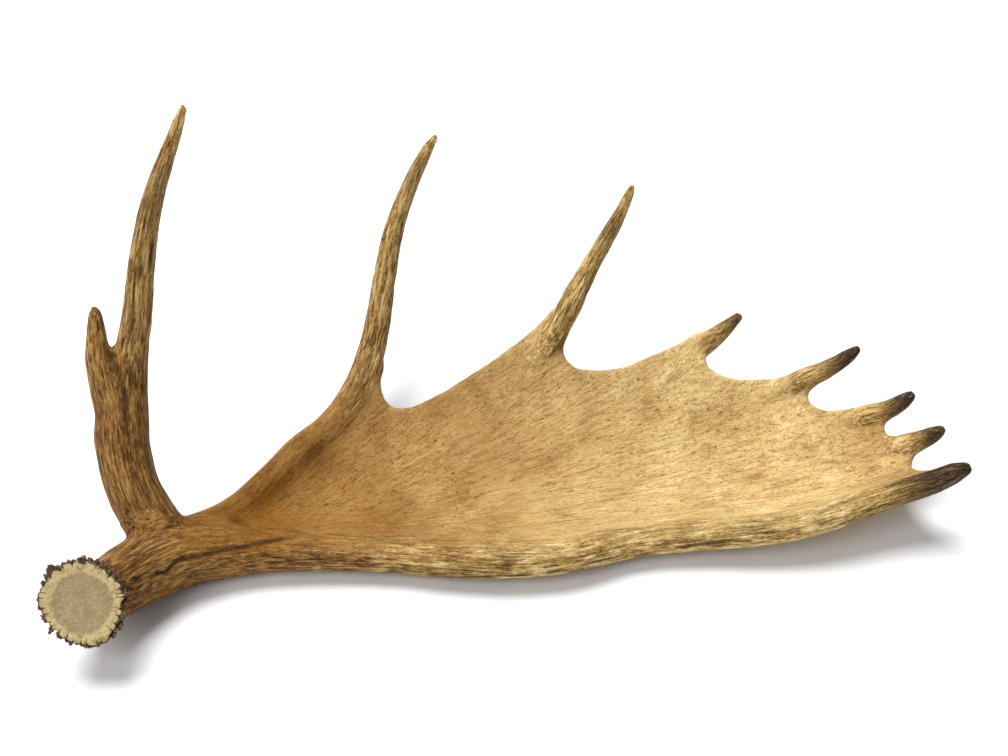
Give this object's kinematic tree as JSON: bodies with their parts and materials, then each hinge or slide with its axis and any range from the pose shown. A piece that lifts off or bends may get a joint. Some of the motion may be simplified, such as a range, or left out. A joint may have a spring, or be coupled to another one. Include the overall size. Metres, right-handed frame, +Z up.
{
  "type": "moose antler",
  "caption": "Shed moose antler with a broad cupped palm, curved palm tines, a forked brow branch and a knobbly burr, lying on its back.",
  "frame": {"origin": "middle of the antler's footprint, on the surface it rests on", "axes": "+X runs from the burr along the palm to its far end, +Y from the rear rim to the long tines, +Z up"},
  "size_m": [0.8468, 0.5136, 0.3793],
  "materials": {
    "bone_base": "bare antler bone, golden to reddish brown, ridged and grooved along its length, satin",
    "bone_palm": "bare antler bone, golden tan going paler to the far end, smooth with fine streaks and pits, nearly matt",
    "bone_tine": "bare antler bone, pale polished ridges with brown grooves, satin",
    "bone_dark_tip": "bare antler bone stained dark brown to black at the tip, rubbed smooth and slightly glossy"
  },
  "bodies": {
    "root": {"burr_and_beam": "bone_base", "brow_branch": "bone_base", "brow_tine_short": "bone_tine", "brow_tine_long": "bone_tine", "palm": "bone_palm", "palm_tine_1": "bone_tine", "palm_tine_2": "bone_tine", "palm_tine_3": "bone_tine", "palm_tine_4": "bone_dark_tip", "palm_tine_5": "bone_dark_tip", "palm_tine_6": "bone_dark_tip", "palm_tine_7": "bone_dark_tip"}
  },
  "joints": []
}
